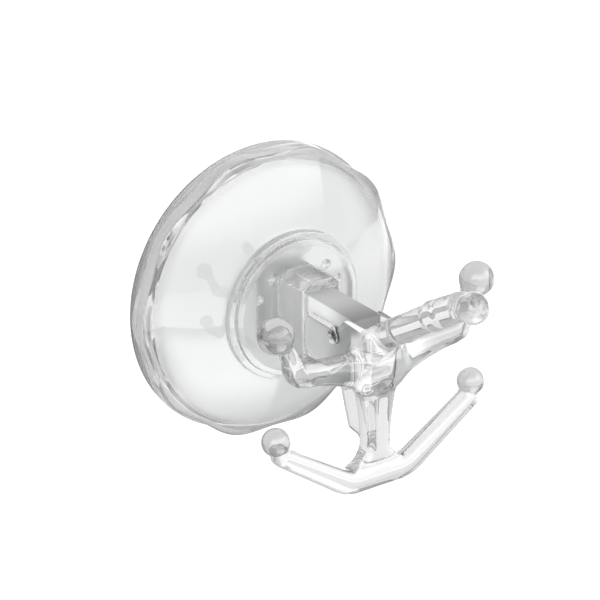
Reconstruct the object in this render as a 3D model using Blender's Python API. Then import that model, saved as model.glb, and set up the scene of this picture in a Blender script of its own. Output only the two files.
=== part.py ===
# Clothes hook on a suction cup with a lever lock.
# The wall is the plane y = 0 and the hook stands out of it along -Y, with +X to the right and +Z up.
# The origin is the middle of the cup's back. "Out" below is the distance from the wall, so y = -out.

import math

import bmesh
import bpy
from mathutils import Vector

for old in list(bpy.data.objects):
    bpy.data.objects.remove(old, do_unlink=True)

mm = 0.001

# clearances, and how far cutting bodies run past what they cut
seat_gap = 0.3 * mm
pin_clearance = 0.06 * mm
ear_play = 0.4 * mm
swing_clearance = 0.5 * mm
cut_overrun = 4.0 * mm

# suction cup
cup_radius = 43.3 * mm
lip_width = 4.4 * mm
lip_thickness = 1.0 * mm
skirt_thickness = 2.4 * mm
cup_hollow = 3.6 * mm
cup_boss_radius = 15.4 * mm
cup_boss_top = 11.4 * mm
cup_segments = 72

# dome housing, sized by the cup that it presses on
rim_overhang = 0.2 * mm
rim_ripple = 1.5 * mm
rim_corner_radius = cup_radius + rim_overhang
rim_flat_radius = rim_corner_radius - rim_ripple
rim_sides = 10
rim_front = 7.0 * mm
rim_bevel = 0.5 * mm
rim_wall = 2.4 * mm
dome_foot_inset = 4.5 * mm
dome_foot_radius = rim_corner_radius - dome_foot_inset
dome_foot_out = 8.8 * mm
dome_top_radius = 22.5 * mm
dome_top_out = 15.7 * mm
dome_wall = 2.4 * mm
collar_radius = 22.0 * mm
collar_step_radius = 20.3 * mm
collar_face_radius = 18.6 * mm
collar_step_out = 17.9 * mm
collar_out = 19.6 * mm
collar_wall = 2.4 * mm
dimple_ring_radius = 14.5 * mm
dimple_radius = 1.1 * mm
dimple_depth = 0.5 * mm
dimple_angles = (24.0, 51.0, 129.0, 156.0)
housing_segments = 100

# boss on the collar, which guides the bar
boss_out = 30.5 * mm
boss_half_width = 6.3 * mm
boss_half_height = 12.8 * mm
boss_chamfer = 2.4 * mm
guide_depth = 5.4 * mm

# pin
pin_radius = 1.8 * mm
pin_out = 44.2 * mm
pin_height = 2.4 * mm
pin_recess = 1.0 * mm

# pull bar
bar_half_width = 4.3 * mm
bar_half_height = 9.2 * mm
bar_past_pin = 7.8 * mm
bar_end_out = pin_out + bar_past_pin
bar_nose_radius = 12.0 * mm
foot_half_width = 7.6 * mm
foot_half_height = 10.8 * mm
foot_thickness = 2.0 * mm
foot_out = 5.6 * mm

# lever: ears and hub, all set out from the pin
lever_half_width = 6.3 * mm
cam_reach = boss_out + seat_gap
cam_fall = 3.2 * mm
cam_flat = 3.2 * mm
ear_top = 5.3 * mm
ear_corner = 3.0 * mm
shoulder_past_pin = 1.8 * mm
shoulder_start = pin_out + shoulder_past_pin
hub_top = 9.2 * mm
hub_back_past_pin = 12.8 * mm
hub_back = pin_out + hub_back_past_pin
hub_front_past_pin = 17.0 * mm
hub_front = pin_out + hub_front_past_pin
hub_bottom = -11.4 * mm
floor_drop = 0.4 * mm
floor_before_pin = 3.8 * mm
floor_start = pin_out - floor_before_pin
edge_bevel = 0.4 * mm
# outline points of the hub's face, in from its front and down from its top
hub_brow = ((1.6, 0.0), (0.4, 0.9), (0.0, 3.0))
# the same for its chin, in from its front and up from its bottom
hub_chin = ((0.2, 10.8), (1.6, 4.0), (4.2, 1.2), (7.6, 0.0))
# the chin seen from the front: across from the middle and up from its bottom, ahead of chin_start
chin_curve = ((0.0, 0.0), (2.4, 0.4), (4.6, 1.6), (5.9, 3.2), (6.3, 4.8))
chin_start_past_pin = 7.0 * mm

# lever: middle prong, a round rod out and up from the hub
rod_radius = 3.85 * mm
rod_past_pin = 10.4 * mm
rod_start_height = 3.4 * mm
rod_rise = 33.2
rod_length = 31.0 * mm
grip_radius = 4.3 * mm
grip_past_pin = 46.4 * mm
grip_end_height = 26.6 * mm
grip_end_radius = 4.0 * mm
rod_ball_radius = 4.2 * mm
rod_ball_past_pin = 51.9 * mm
rod_ball_height = 28.2 * mm
rod_start = (pin_out + rod_past_pin, rod_start_height)
grip_end = (pin_out + grip_past_pin, grip_end_height)
rod_ball_place = (pin_out + rod_ball_past_pin, rod_ball_height)

# lever: upper prongs, deep at the hub, curling up to their balls; each row is the distance from
# the middle, the distance out past the pin, the height, and half the section's height and depth
upper_rows = (
    (5.2, 12.4, -3.4, 5.3, 3.3),
    (8.6, 12.5, -2.2, 4.7, 3.2),
    (12.4, 12.6, -1.2, 4.1, 3.1),
    (16.4, 12.9, -0.2, 3.6, 3.1),
    (20.4, 13.0, 0.5, 3.2, 3.2),
    (24.0, 13.0, 0.8, 3.1, 3.3),
    (26.3, 12.9, 1.3, 3.0, 3.3),
    (27.5, 12.8, 3.2, 2.75, 3.0),
    (28.3, 12.8, 5.8, 2.35, 2.6),
    (29.6, 12.8, 8.8, 2.2, 2.35),
    (31.3, 12.7, 11.7, 2.2, 2.2),
)
# 2 would make their section an ellipse, more makes it squarer
upper_squareness = 3.0
upper_ball_radius = 4.95 * mm
upper_ball_spread = 33.1 * mm
upper_ball_past_pin = 12.7 * mm
upper_ball_height = 14.3 * mm
upper_ball_place = (upper_ball_spread, pin_out + upper_ball_past_pin, upper_ball_height)

# lever: stem, fin and lower prongs
stem_back_past_pin = 9.2 * mm
stem_depth = 5.0 * mm
stem_back = pin_out + stem_back_past_pin
stem_front = stem_back + stem_depth
stem_top_half = 6.6 * mm
stem_waist_half = 4.0 * mm
stem_waist_height = -26.6 * mm
stem_foot_half = 9.2 * mm
stem_foot_height = -32.2 * mm
fin_thickness = 2.2 * mm
fin_before_pin = 3.0 * mm
fin_low_past_pin = 0.9 * mm
fin_back = pin_out - fin_before_pin
fin_low_back = pin_out + fin_low_past_pin
fin_low = -26.2 * mm
anchor_past_pin = 12.5 * mm
anchor_out = pin_out + anchor_past_pin
anchor_height = -35.6 * mm
anchor_bend = 10.4 * mm
anchor_half_depth = 2.9 * mm
anchor_half_thick = 3.4 * mm
anchor_tip_thick = 2.7 * mm
lower_tip_spread = 31.2 * mm
lower_tip_height = -21.4 * mm
lower_tip_place = (lower_tip_spread, lower_tip_height)
lower_ball_radius = 3.9 * mm
lower_ball_spread = 32.7 * mm
lower_ball_past_pin = 12.0 * mm
lower_ball_height = -16.8 * mm
lower_ball_place = (lower_ball_spread, pin_out + lower_ball_past_pin, lower_ball_height)


def place(x, out, z):
    return Vector((x, -out, z))


def make_object(name, bm, origin=(0.0, 0.0, 0.0)):
    bmesh.ops.remove_doubles(bm, verts=bm.verts, dist=1e-7)
    bmesh.ops.recalc_face_normals(bm, faces=bm.faces)
    bmesh.ops.translate(bm, verts=bm.verts, vec=-Vector(origin))
    mesh = bpy.data.meshes.new(name)
    bm.to_mesh(mesh)
    bm.free()
    ob = bpy.data.objects.new(name, mesh)
    ob.location = origin
    bpy.context.collection.objects.link(ob)
    return ob


def combine(base, tools, operation):
    # unions or cuts each tool into the base, then removes the tool
    for tool in tools:
        bpy.context.view_layer.update()
        mod = base.modifiers.new("combine", "BOOLEAN")
        mod.operation = operation
        mod.solver = "EXACT"
        mod.object = tool
        depsgraph = bpy.context.evaluated_depsgraph_get()
        mesh = bpy.data.meshes.new_from_object(base.evaluated_get(depsgraph))
        base.modifiers.clear()
        spent = base.data
        base.data = mesh
        bpy.data.meshes.remove(spent)
        bpy.data.objects.remove(tool, do_unlink=True)
    base.data.name = base.name
    return base


def finish(ob, colour, roughness, metallic=0.0, transmission=0.0, sharp=32.0):
    mat = bpy.data.materials.new(ob.name + "_material")
    mat.use_nodes = True
    shader = mat.node_tree.nodes["Principled BSDF"]
    shader.inputs["Base Color"].default_value = (*colour, 1.0)
    shader.inputs["Roughness"].default_value = roughness
    shader.inputs["Metallic"].default_value = metallic
    shader.inputs["Transmission Weight"].default_value = transmission
    ob.data.materials.clear()
    ob.data.materials.append(mat)
    ob.data.shade_smooth()
    ob.data.set_sharp_from_angle(angle=math.radians(sharp))


def loft(rings):
    # closed body through rings of equally many points, capped at both ends
    bm = bmesh.new()
    rows = [[bm.verts.new(p) for p in ring] for ring in rings]
    count = len(rings[0])
    for low, high in zip(rows, rows[1:]):
        for k in range(count):
            n = (k + 1) % count
            bm.faces.new((low[k], low[n], high[n], high[k]))
    bm.faces.new(rows[0][::-1])
    bm.faces.new(rows[-1])
    return bm


def prism(outline, lift, low, high, bevel=0.0):
    # outline is a list of two-value points, lift places one of them at a depth
    bm = bmesh.new()
    bottom = [bm.verts.new(lift(p, low)) for p in outline]
    top = [bm.verts.new(lift(p, high)) for p in outline]
    count = len(outline)
    for k in range(count):
        n = (k + 1) % count
        bm.faces.new((bottom[k], bottom[n], top[n], top[k]))
    ends = [bm.faces.new(bottom[::-1]), bm.faces.new(top)]
    if bevel > 0.0:
        rims = [e for f in ends for e in f.edges]
        bmesh.ops.bevel(bm, geom=rims, offset=bevel, segments=1, affect="EDGES", clamp_overlap=True)
    return bm


def side_lift(p, x):
    return place(x, p[0], p[1])


def front_lift(p, out):
    return place(p[0], out, p[1])


def box(half_x, low_out, high_out, low_z, high_z):
    outline = [(-half_x, low_z), (half_x, low_z), (half_x, high_z), (-half_x, high_z)]
    return prism(outline, front_lift, low_out, high_out)


def oval(centre, u, v, half_u, half_v, power, count=24):
    # ring round centre with half sizes along u and v; a higher power squares it up
    ring = []
    for k in range(count):
        a = 2.0 * math.pi * (k + 0.5) / count
        c = math.cos(a)
        s = math.sin(a)
        pu = math.copysign(abs(c) ** (2.0 / power), c) * half_u
        pv = math.copysign(abs(s) ** (2.0 / power), s) * half_v
        ring.append(centre + u * pu + v * pv)
    return ring


def ball(name, centre, radius, u_segments=24, v_segments=14):
    bm = bmesh.new()
    bmesh.ops.create_uvsphere(bm, u_segments=u_segments, v_segments=v_segments, radius=radius)
    bmesh.ops.translate(bm, verts=bm.verts, vec=centre)
    return make_object(name, bm)


def cylinder_x(name, radius, half_length, out, z, segments=32):
    outline = []
    for k in range(segments):
        a = 2.0 * math.pi * k / segments
        outline.append((out + radius * math.cos(a), z + radius * math.sin(a)))
    return make_object(name, prism(outline, side_lift, -half_length, half_length))


def turned(profile, segments, radius_at=None):
    # solid turned about the wall's normal from (radius, out) points; the ends lie on the axis
    bm = bmesh.new()
    first = bm.verts.new(place(0.0, profile[0][1], 0.0))
    last = bm.verts.new(place(0.0, profile[-1][1], 0.0))
    rows = []
    for point in profile[1:-1]:
        row = []
        for k in range(segments):
            a = 2.0 * math.pi * k / segments
            r = radius_at(point, a) if radius_at else point[0]
            row.append(bm.verts.new(place(r * math.cos(a), point[1], r * math.sin(a))))
        rows.append(row)
    for low, high in zip(rows, rows[1:]):
        for k in range(segments):
            n = (k + 1) % segments
            bm.faces.new((low[k], low[n], high[n], high[k]))
    for k in range(segments):
        n = (k + 1) % segments
        bm.faces.new((first, rows[0][n], rows[0][k]))
        bm.faces.new((last, rows[-1][k], rows[-1][n]))
    return bm


# suction cup: flat lip, hollow behind the skirt, thick middle that holds the bar's foot
lip_inner = cup_radius - lip_width
cup_profile = [(0.0, cup_hollow)]
for step in range(1, 6):
    t = step / 6.0
    cup_profile.append((lip_inner * t, cup_hollow * (1.0 - t * t)))
cup_profile += [
    (lip_inner, 0.0),
    (cup_radius - 0.3 * lip_thickness, 0.0),
    (cup_radius, 0.35 * lip_thickness),
    (cup_radius - 0.3 * lip_thickness, lip_thickness),
    (lip_inner - 0.5 * lip_width, lip_thickness),
]
shoulder = cup_boss_radius + skirt_thickness
for step in range(1, 6):
    t = 1.0 - step / 6.0
    r = shoulder + (lip_inner - 0.5 * lip_width - shoulder) * t
    cup_profile.append((r, cup_hollow * (1.0 - (r / lip_inner) ** 2) + skirt_thickness))
cup_profile += [
    (cup_boss_radius, cup_hollow + skirt_thickness + 1.2 * mm),
    (cup_boss_radius, cup_boss_top - 0.8 * mm),
    (cup_boss_radius - 0.8 * mm, cup_boss_top),
    (0.0, cup_boss_top),
]
suction_cup = make_object("suction_cup", turned(cup_profile, cup_segments))
foot_pocket = make_object("foot_pocket", box(
    foot_half_width + seat_gap, foot_out - seat_gap, foot_out + foot_thickness + seat_gap,
    -foot_half_height - seat_gap, foot_half_height + seat_gap))
foot_slot = make_object("foot_slot", box(
    bar_half_width + seat_gap, foot_out + 0.5 * foot_thickness, cup_boss_top + 2.0 * mm,
    -bar_half_height - seat_gap, bar_half_height + seat_gap))
combine(foot_pocket, [foot_slot], "UNION")
combine(suction_cup, [foot_pocket], "DIFFERENCE")

# housing: its outer and inner skins are one turned profile, from the collar's face round the rim's
# back edge to the inner ceiling. A third value of 1 makes a point follow the wavy rim.
rim_mean = 0.5 * (rim_corner_radius + rim_flat_radius)
rim_wave = 0.5 * (rim_corner_radius - rim_flat_radius)
rim_back = lip_thickness + seat_gap
sphere_out = (dome_foot_radius ** 2 + dome_foot_out ** 2 - dome_top_radius ** 2 - dome_top_out ** 2) / (
    2.0 * (dome_foot_out - dome_top_out))
sphere_radius = math.hypot(dome_foot_radius, dome_foot_out - sphere_out)
rim_inner = rim_flat_radius - rim_wall


def dome_out(radius, wall=0.0):
    return sphere_out + math.sqrt((sphere_radius - wall) ** 2 - radius ** 2)


def housing_radius(point, angle):
    return point[0] + point[2] * rim_wave * math.cos(rim_sides * angle)


outer = [(0.0, collar_out, 0)]
outer += [
    (0.5 * collar_face_radius, collar_out, 0),
    (collar_face_radius, collar_out, 0),
    (collar_step_radius - 0.6 * mm, collar_out - 0.1 * mm, 0),
    (collar_step_radius - 0.2 * mm, collar_out - 0.6 * mm, 0),
    (collar_step_radius, collar_step_out, 0),
    (collar_radius - 0.6 * mm, collar_step_out - 0.1 * mm, 0),
    (collar_radius - 0.2 * mm, collar_step_out - 0.5 * mm, 0),
    (collar_radius, dome_top_out + 0.5 * mm, 0),
]
for step in range(8):
    r = dome_top_radius + (dome_foot_radius - dome_top_radius) * step / 7.0
    outer.append((r, dome_out(r), 0))
outer += [
    (0.5 * (dome_foot_radius + rim_mean), 0.5 * (dome_foot_out + rim_front) + 0.1 * mm, 0.6),
    (rim_mean - rim_bevel, rim_front, 1),
    (rim_mean, rim_front - rim_bevel, 1),
    (rim_mean, rim_back + rim_bevel, 1),
    (rim_mean - rim_bevel, rim_back, 1),
]
inner = [(rim_inner, rim_back, 0)]
collar_inner = collar_radius - collar_wall
for step in range(6):
    r = rim_inner - 0.4 * mm + (collar_inner - rim_inner + 0.4 * mm) * step / 5.0
    inner.append((r, dome_out(r, dome_wall), 0))
inner += [
    (collar_inner - 0.3 * mm, collar_out - collar_wall, 0),
    (0.5 * collar_inner, collar_out - collar_wall, 0),
    (0.0, collar_out - collar_wall, 0),
]
housing = make_object("housing", turned(outer + inner, housing_segments, housing_radius))

chamfer = boss_chamfer
boss_outline = [
    (-boss_half_width + chamfer, -boss_half_height), (boss_half_width - chamfer, -boss_half_height),
    (boss_half_width, -boss_half_height + chamfer), (boss_half_width, boss_half_height - chamfer),
    (boss_half_width - chamfer, boss_half_height), (-boss_half_width + chamfer, boss_half_height),
    (-boss_half_width, boss_half_height - chamfer), (-boss_half_width, -boss_half_height + chamfer),
]
boss = make_object("boss", prism(boss_outline, front_lift, collar_out - guide_depth, boss_out, edge_bevel))
combine(housing, [boss], "UNION")
slot = make_object("slot", box(
    bar_half_width + seat_gap, 0.5 * (collar_out - guide_depth), boss_out + 2.0 * mm,
    -bar_half_height - seat_gap, bar_half_height + seat_gap))
dimples = []
for angle in dimple_angles:
    outline = []
    for k in range(16):
        a = 2.0 * math.pi * k / 16
        outline.append((
            dimple_ring_radius * math.cos(math.radians(angle)) + dimple_radius * math.cos(a),
            dimple_ring_radius * math.sin(math.radians(angle)) + dimple_radius * math.sin(a)))
    dimples.append(make_object("dimple", prism(
        outline, front_lift, collar_out - dimple_depth, collar_out + 1.0 * mm)))
combine(housing, [slot] + dimples, "DIFFERENCE")

# pull bar: flat foot in the cup, straight shank, nose rounded about the pin so that the lever clears it
nose = []
low_angle = math.asin((-bar_half_height - pin_height) / bar_nose_radius)
high_angle = math.acos(min(1.0, (bar_end_out - pin_out) / bar_nose_radius))
for step in range(9):
    a = low_angle + (-high_angle - low_angle) * step / 8.0
    nose.append((pin_out + bar_nose_radius * math.cos(a), pin_height + bar_nose_radius * math.sin(a)))
bar_outline = [(foot_out, -bar_half_height)] + nose + [
    (bar_end_out, bar_half_height - edge_bevel), (bar_end_out - edge_bevel, bar_half_height),
    (foot_out, bar_half_height)]
pull_stem = make_object("pull_stem", prism(bar_outline, side_lift, -bar_half_width, bar_half_width))
bar_foot = make_object("bar_foot", box(
    foot_half_width, foot_out - 0.001 * mm, foot_out + foot_thickness, -foot_half_height, foot_half_height))
combine(pull_stem, [bar_foot], "UNION")
bore_radius = pin_radius + pin_clearance
combine(pull_stem, [cylinder_x("bore", bore_radius, 2.0 * bar_half_width, pin_out, pin_height)], "DIFFERENCE")

# pin, a little short of the ears' outer faces
pin_half_length = lever_half_width - pin_recess
pivot_pin = cylinder_x("pivot_pin", pin_radius, pin_half_length, pin_out, pin_height)

# lever, ears and hub: the cam's reach falls evenly with the lever's angle, from its flat to its top
cam_radius = pin_out - cam_reach
cam = []
turn = 0.0
while True:
    reach = cam_radius - cam_fall * turn
    out = pin_out - reach * math.cos(turn) - cam_fall * math.sin(turn)
    height = pin_height + reach * math.sin(turn) - cam_fall * math.cos(turn)
    if height > ear_top - 0.4 * mm or turn > 1.2:
        break
    cam.append((out, height))
    turn += 0.09
cam.append((cam[-1][0] + 0.7 * mm, ear_top))
flat_low = cam[0][1] - cam_flat
corner = []
for step in range(1, 5):
    a = math.pi + 0.5 * math.pi * step / 4.0
    corner.append((cam_reach + ear_corner + ear_corner * math.cos(a), flat_low + ear_corner * math.sin(a)))
pocket_radius = bar_nose_radius + swing_clearance
floor_height = -bar_half_height - floor_drop
shoulder_rise = hub_top - ear_top
hub_outline = cam + [
    (shoulder_start, ear_top),
    (shoulder_start + shoulder_rise, hub_top),
]
hub_outline += [(hub_front - inset * mm, hub_top - drop * mm) for inset, drop in hub_brow]
hub_outline += [(hub_front - inset * mm, hub_bottom + rise * mm) for inset, rise in hub_chin]
hub_outline += [
    (floor_start + 1.2 * mm, hub_bottom),
    (floor_start, hub_bottom + 1.0 * mm),
    (floor_start - 0.4 * mm, floor_height),
] + corner[::-1] + [(cam_reach, flat_low)]
hook_lever = make_object("hook_lever", prism(hub_outline, side_lift, -lever_half_width, lever_half_width, edge_bevel))
chin = [(across * mm, hub_bottom + rise * mm) for across, rise in chin_curve]
chin += [(lever_half_width + cut_overrun, chin[-1][1] + 0.5 * cut_overrun),
         (lever_half_width + cut_overrun, hub_bottom - cut_overrun)]
chin += [(-x, z) for x, z in chin[:0:-1]]
combine(hook_lever, [make_object("under_chin", prism(
    chin, front_lift, pin_out + chin_start_past_pin, hub_front + cut_overrun))], "DIFFERENCE")
parts = []
across = Vector((1.0, 0.0, 0.0))
fore = Vector((0.0, -1.0, 0.0))

# middle prong: straight rod, slightly thicker toward its end, then level to the ball
rise = math.radians(rod_rise)
rod_far = (rod_start[0] + rod_length * math.cos(rise), rod_start[1] + rod_length * math.sin(rise))
rod_rows = [
    (rod_start[0], rod_start[1], rod_radius),
    (0.5 * (rod_start[0] + rod_far[0]), 0.5 * (rod_start[1] + rod_far[1]), rod_radius),
    (rod_far[0], rod_far[1], rod_radius),
    (rod_far[0] + 0.8 * mm * math.cos(rise), rod_far[1] + 0.8 * mm * math.sin(rise), grip_radius),
    (0.5 * (rod_far[0] + grip_end[0]), 0.5 * (rod_far[1] + grip_end[1]) + 0.3 * mm,
     0.5 * (grip_radius + grip_end_radius)),
    (grip_end[0], grip_end[1], grip_end_radius),
    (rod_ball_place[0], rod_ball_place[1], 0.8 * rod_ball_radius),
]
rings = []
for k, (out, z, radius) in enumerate(rod_rows):
    back = rod_rows[max(0, k - 1)]
    ahead = rod_rows[min(len(rod_rows) - 1, k + 1)]
    run = Vector((0.0, -(ahead[0] - back[0]), ahead[1] - back[1])).normalized()
    normal = run.cross(across)
    rings.append(oval(place(0.0, out, z), across, normal, radius, radius, 2.0, 28))
parts.append(make_object("rod", loft(rings)))
parts.append(ball("rod_ball", place(0.0, rod_ball_place[0], rod_ball_place[1]), rod_ball_radius))

for side in (-1.0, 1.0):
    rings = []
    rows = [(side * r[0] * mm, pin_out + r[1] * mm, r[2] * mm, r[3] * mm, r[4] * mm) for r in upper_rows]
    for k, (x, out, z, half_high, half_deep) in enumerate(rows):
        back = rows[max(0, k - 1)]
        ahead = rows[min(len(rows) - 1, k + 1)]
        run = Vector((ahead[0] - back[0], 0.0, ahead[2] - back[2])).normalized()
        normal = Vector((-run.z, 0.0, run.x))
        rings.append(oval(place(x, out, z), normal, fore, half_high, half_deep, upper_squareness))
    parts.append(make_object("upper_prong", loft(rings)))
    parts.append(ball("upper_ball", place(side * upper_ball_place[0], upper_ball_place[1], upper_ball_place[2]),
                      upper_ball_radius))
    parts.append(ball("lower_ball", place(side * lower_ball_place[0], lower_ball_place[1], lower_ball_place[2]),
                      lower_ball_radius))

# stem: narrow at the waist, spreading into the lower prongs
rings = []
stem_top = hub_bottom + 4.0 * mm
stem_rows = [(stem_top, stem_top_half)]
for step in range(1, 6):
    t = step / 5.0
    z = stem_top + (stem_waist_height - stem_top) * t
    stem_rows.append((z, stem_top_half + (stem_waist_half - stem_top_half) * math.sin(0.5 * math.pi * t)))
for step in range(1, 6):
    a = 0.5 * math.pi * step / 5.0
    half = stem_foot_half - (stem_foot_half - stem_waist_half) * math.cos(a)
    z = stem_waist_height + (stem_foot_height - stem_waist_height) * math.sin(a)
    stem_rows.append((z, half))
stem_rows.append((anchor_height, stem_foot_half))
for z, half in stem_rows:
    centre = place(0.0, 0.5 * (stem_back + stem_front), z)
    rings.append(oval(centre, across, fore, half, 0.5 * (stem_front - stem_back), 3.6))
parts.append(make_object("stem", loft(rings)))

# thin fin behind the stem
fin_outline = [
    (stem_back + 1.6 * mm, hub_bottom + 1.2 * mm), (fin_back - 0.2 * mm, hub_bottom + 0.6 * mm),
    (fin_back, hub_bottom - 3.6 * mm), (0.45 * fin_back + 0.55 * fin_low_back, 0.3 * hub_bottom + 0.7 * fin_low),
    (fin_low_back, fin_low), (fin_low_back + 4.3 * mm, fin_low - 0.5 * mm),
    (fin_low_back + 6.6 * mm, fin_low - 2.6 * mm), (stem_back + 1.6 * mm, fin_low - 6.0 * mm),
]
parts.append(make_object("fin", prism(fin_outline, side_lift, -0.5 * fin_thickness, 0.5 * fin_thickness)))

# lower prongs: one bar from tip to tip, bent up on both sides
bar_path = [(-lower_tip_place[0], lower_tip_place[1], anchor_tip_thick)]
bend_angle = math.atan2(lower_tip_place[1] - anchor_height, lower_tip_place[0] - anchor_bend)
for step in range(1, 4):
    t = step / 4.0
    x = -lower_tip_place[0] + (lower_tip_place[0] - anchor_bend - 2.0 * mm) * t
    z = lower_tip_place[1] + (anchor_height - lower_tip_place[1]) * t
    bar_path.append((x, z, anchor_tip_thick + (anchor_half_thick - anchor_tip_thick) * t))
bar_path.append((-anchor_bend, anchor_height + 0.5 * mm, anchor_half_thick))
bar_path.append((-anchor_bend + 2.6 * mm, anchor_height - 0.1 * mm, anchor_half_thick))
bar_path.append((0.0, anchor_height - 0.1 * mm, anchor_half_thick))
bar_path += [(-x, z, half) for x, z, half in bar_path[-2::-1]]
rings = []
for k, (x, z, half) in enumerate(bar_path):
    back = bar_path[max(0, k - 1)]
    ahead = bar_path[min(len(bar_path) - 1, k + 1)]
    run = Vector((ahead[0] - back[0], 0.0, ahead[1] - back[1])).normalized()
    normal = Vector((-run.z, 0.0, run.x))
    rings.append(oval(place(x, anchor_out, z), normal, fore, half, anchor_half_depth, 2.8))
parts.append(make_object("lower_bar", loft(rings)))
for side in (-1.0, 1.0):
    parts.append(ball("lower_tip", place(side * lower_tip_place[0], anchor_out, lower_tip_place[1]),
                      anchor_half_depth + 0.1 * mm))
combine(hook_lever, parts, "UNION")

# pocket that the bar's nose sits in, open at the back and the top, and the pin's bore
pocket_half = bar_half_width + ear_play
pocket = cylinder_x("pocket", pocket_radius, pocket_half, pin_out, pin_height, 48)
behind = make_object("behind", box(
    pocket_half, cam_reach - 1.2 * cut_overrun, pin_out, floor_height, hub_top + 1.2 * cut_overrun))
above = make_object("above", box(
    pocket_half, cam_reach - cut_overrun, hub_back, pin_height, hub_top + cut_overrun))
combine(pocket, [behind, above], "UNION")
combine(hook_lever, [pocket, cylinder_x("ear_bore", bore_radius, 2.0 * lever_half_width, pin_out, pin_height)],
        "DIFFERENCE")

# the lever turns about the pin, and the pin, bar and cup slide along the wall's normal
slide = bpy.data.objects.new("cup_slide", None)
bpy.context.collection.objects.link(slide)
hinge = bpy.data.objects.new("lever_axis", None)
bpy.context.collection.objects.link(hinge)
hinge.location = place(0.0, pin_out, pin_height)
hinge.parent = slide
for ob, parent in ((suction_cup, slide), (pull_stem, slide), (pivot_pin, hinge), (hook_lever, hinge)):
    ob.parent = parent
    if parent is hinge:
        for vert in ob.data.vertices:
            vert.co -= hinge.location

finish(suction_cup, (0.86, 0.87, 0.88), 0.22, transmission=0.9, sharp=40.0)
finish(housing, (0.93, 0.94, 0.95), 0.06, transmission=0.95)
finish(pull_stem, (0.56, 0.57, 0.57), 0.55, sharp=25.0)
finish(pivot_pin, (0.78, 0.79, 0.80), 0.25, metallic=1.0)
finish(hook_lever, (0.93, 0.94, 0.95), 0.05, transmission=0.95, sharp=40.0)
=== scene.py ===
import math

import bmesh
import bpy
import numpy as np
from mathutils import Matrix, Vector


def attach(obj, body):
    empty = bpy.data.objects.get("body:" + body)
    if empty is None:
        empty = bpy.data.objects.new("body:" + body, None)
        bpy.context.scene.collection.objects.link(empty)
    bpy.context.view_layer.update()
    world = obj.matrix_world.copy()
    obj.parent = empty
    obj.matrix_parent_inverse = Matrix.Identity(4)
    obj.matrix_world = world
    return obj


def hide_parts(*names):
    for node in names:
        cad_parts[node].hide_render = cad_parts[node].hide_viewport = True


# Clear clothes hook on a suction cup. The wall is y = 0, the hook stands out along -Y, +Z is up.
# The hook's sizes are in millimetres, and "out" is the distance from the wall. The room's are in metres.

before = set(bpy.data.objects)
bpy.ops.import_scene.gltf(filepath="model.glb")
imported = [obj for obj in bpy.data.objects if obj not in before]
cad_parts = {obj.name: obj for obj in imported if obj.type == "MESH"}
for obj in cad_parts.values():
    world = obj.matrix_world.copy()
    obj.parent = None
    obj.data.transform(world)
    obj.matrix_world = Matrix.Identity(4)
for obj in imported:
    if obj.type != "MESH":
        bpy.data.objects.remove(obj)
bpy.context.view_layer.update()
mm = 0.001
print("frame loaded:", sorted(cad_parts))


def spot(x, out, z):
    return Vector((x, -out, z)) * mm


# shared mesh helpers

weldGaps = {"mesh": 1e-7, "shell": 1e-6, "sweep": 2e-6}    # metres


def addObject(name, mesh):
    ob = bpy.data.objects.new(name, mesh)
    bpy.context.scene.collection.objects.link(ob)
    return ob


def fromBmesh(name, bm, recalc=True):
    bmesh.ops.remove_doubles(bm, verts=bm.verts, dist=weldGaps["mesh"])
    if recalc:
        bmesh.ops.recalc_face_normals(bm, faces=bm.faces)
    mesh = bpy.data.meshes.new(name)
    bm.to_mesh(mesh)
    bm.free()
    return addObject(name, mesh)


def facedOut(mesh, weld=0.0):
    # points every face outwards, after closing seams when asked
    bm = bmesh.new()
    bm.from_mesh(mesh)
    if weld > 0.0:
        bmesh.ops.remove_doubles(bm, verts=bm.verts, dist=weld)
    bmesh.ops.recalc_face_normals(bm, faces=bm.faces)
    bm.to_mesh(mesh)
    bm.free()


def applied(ob):
    # bakes the object's modifiers into a plain mesh
    bpy.context.view_layer.update()
    depsgraph = bpy.context.evaluated_depsgraph_get()
    mesh = bpy.data.meshes.new_from_object(ob.evaluated_get(depsgraph))
    ob.modifiers.clear()
    spent = ob.data
    ob.data = mesh
    ob.data.name = ob.name
    bpy.data.meshes.remove(spent)
    return ob


def combined(ob, tools, operation):
    for tool in tools:
        mod = ob.modifiers.new("combine", "BOOLEAN")
        mod.operation = operation
        mod.solver = "EXACT"
        mod.object = tool
        applied(ob)
        bpy.data.objects.remove(tool, do_unlink=True)
    return ob


def softened(ob, width, segments, angle):
    mod = ob.modifiers.new("edges", "BEVEL")
    mod.width = width * mm
    mod.segments = segments
    mod.limit_method = "ANGLE"
    mod.angle_limit = math.radians(angle)
    mod.harden_normals = False
    return applied(ob)


def shaded(ob, material, sharp):
    ob.data.materials.clear()
    ob.data.materials.append(material)
    ob.data.shade_smooth()
    ob.data.set_sharp_from_angle(angle=math.radians(sharp))
    return ob


def slab(outline, lift, low, high):
    # closed prism over a flat outline; lift turns an outline point and a depth into a place
    bm = bmesh.new()
    bottom = [bm.verts.new(lift(p, low)) for p in outline]
    top = [bm.verts.new(lift(p, high)) for p in outline]
    count = len(outline)
    for k in range(count):
        n = (k + 1) % count
        bm.faces.new((bottom[k], bottom[n], top[n], top[k]))
    bm.faces.new(bottom[::-1])
    bm.faces.new(top)
    return bm


def sideways(p, x):
    return spot(x, p[0], p[1])


def frontways(p, out):
    return spot(p[0], out, p[1])


def block(name, halfX, halfZ, start, end):
    # box centred on the hook's axis, between two distances from the wall
    outline = [(-halfX, -halfZ), (halfX, -halfZ), (halfX, halfZ), (-halfX, halfZ)]
    return fromBmesh(name, slab(outline, frontways, start, end))


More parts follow.
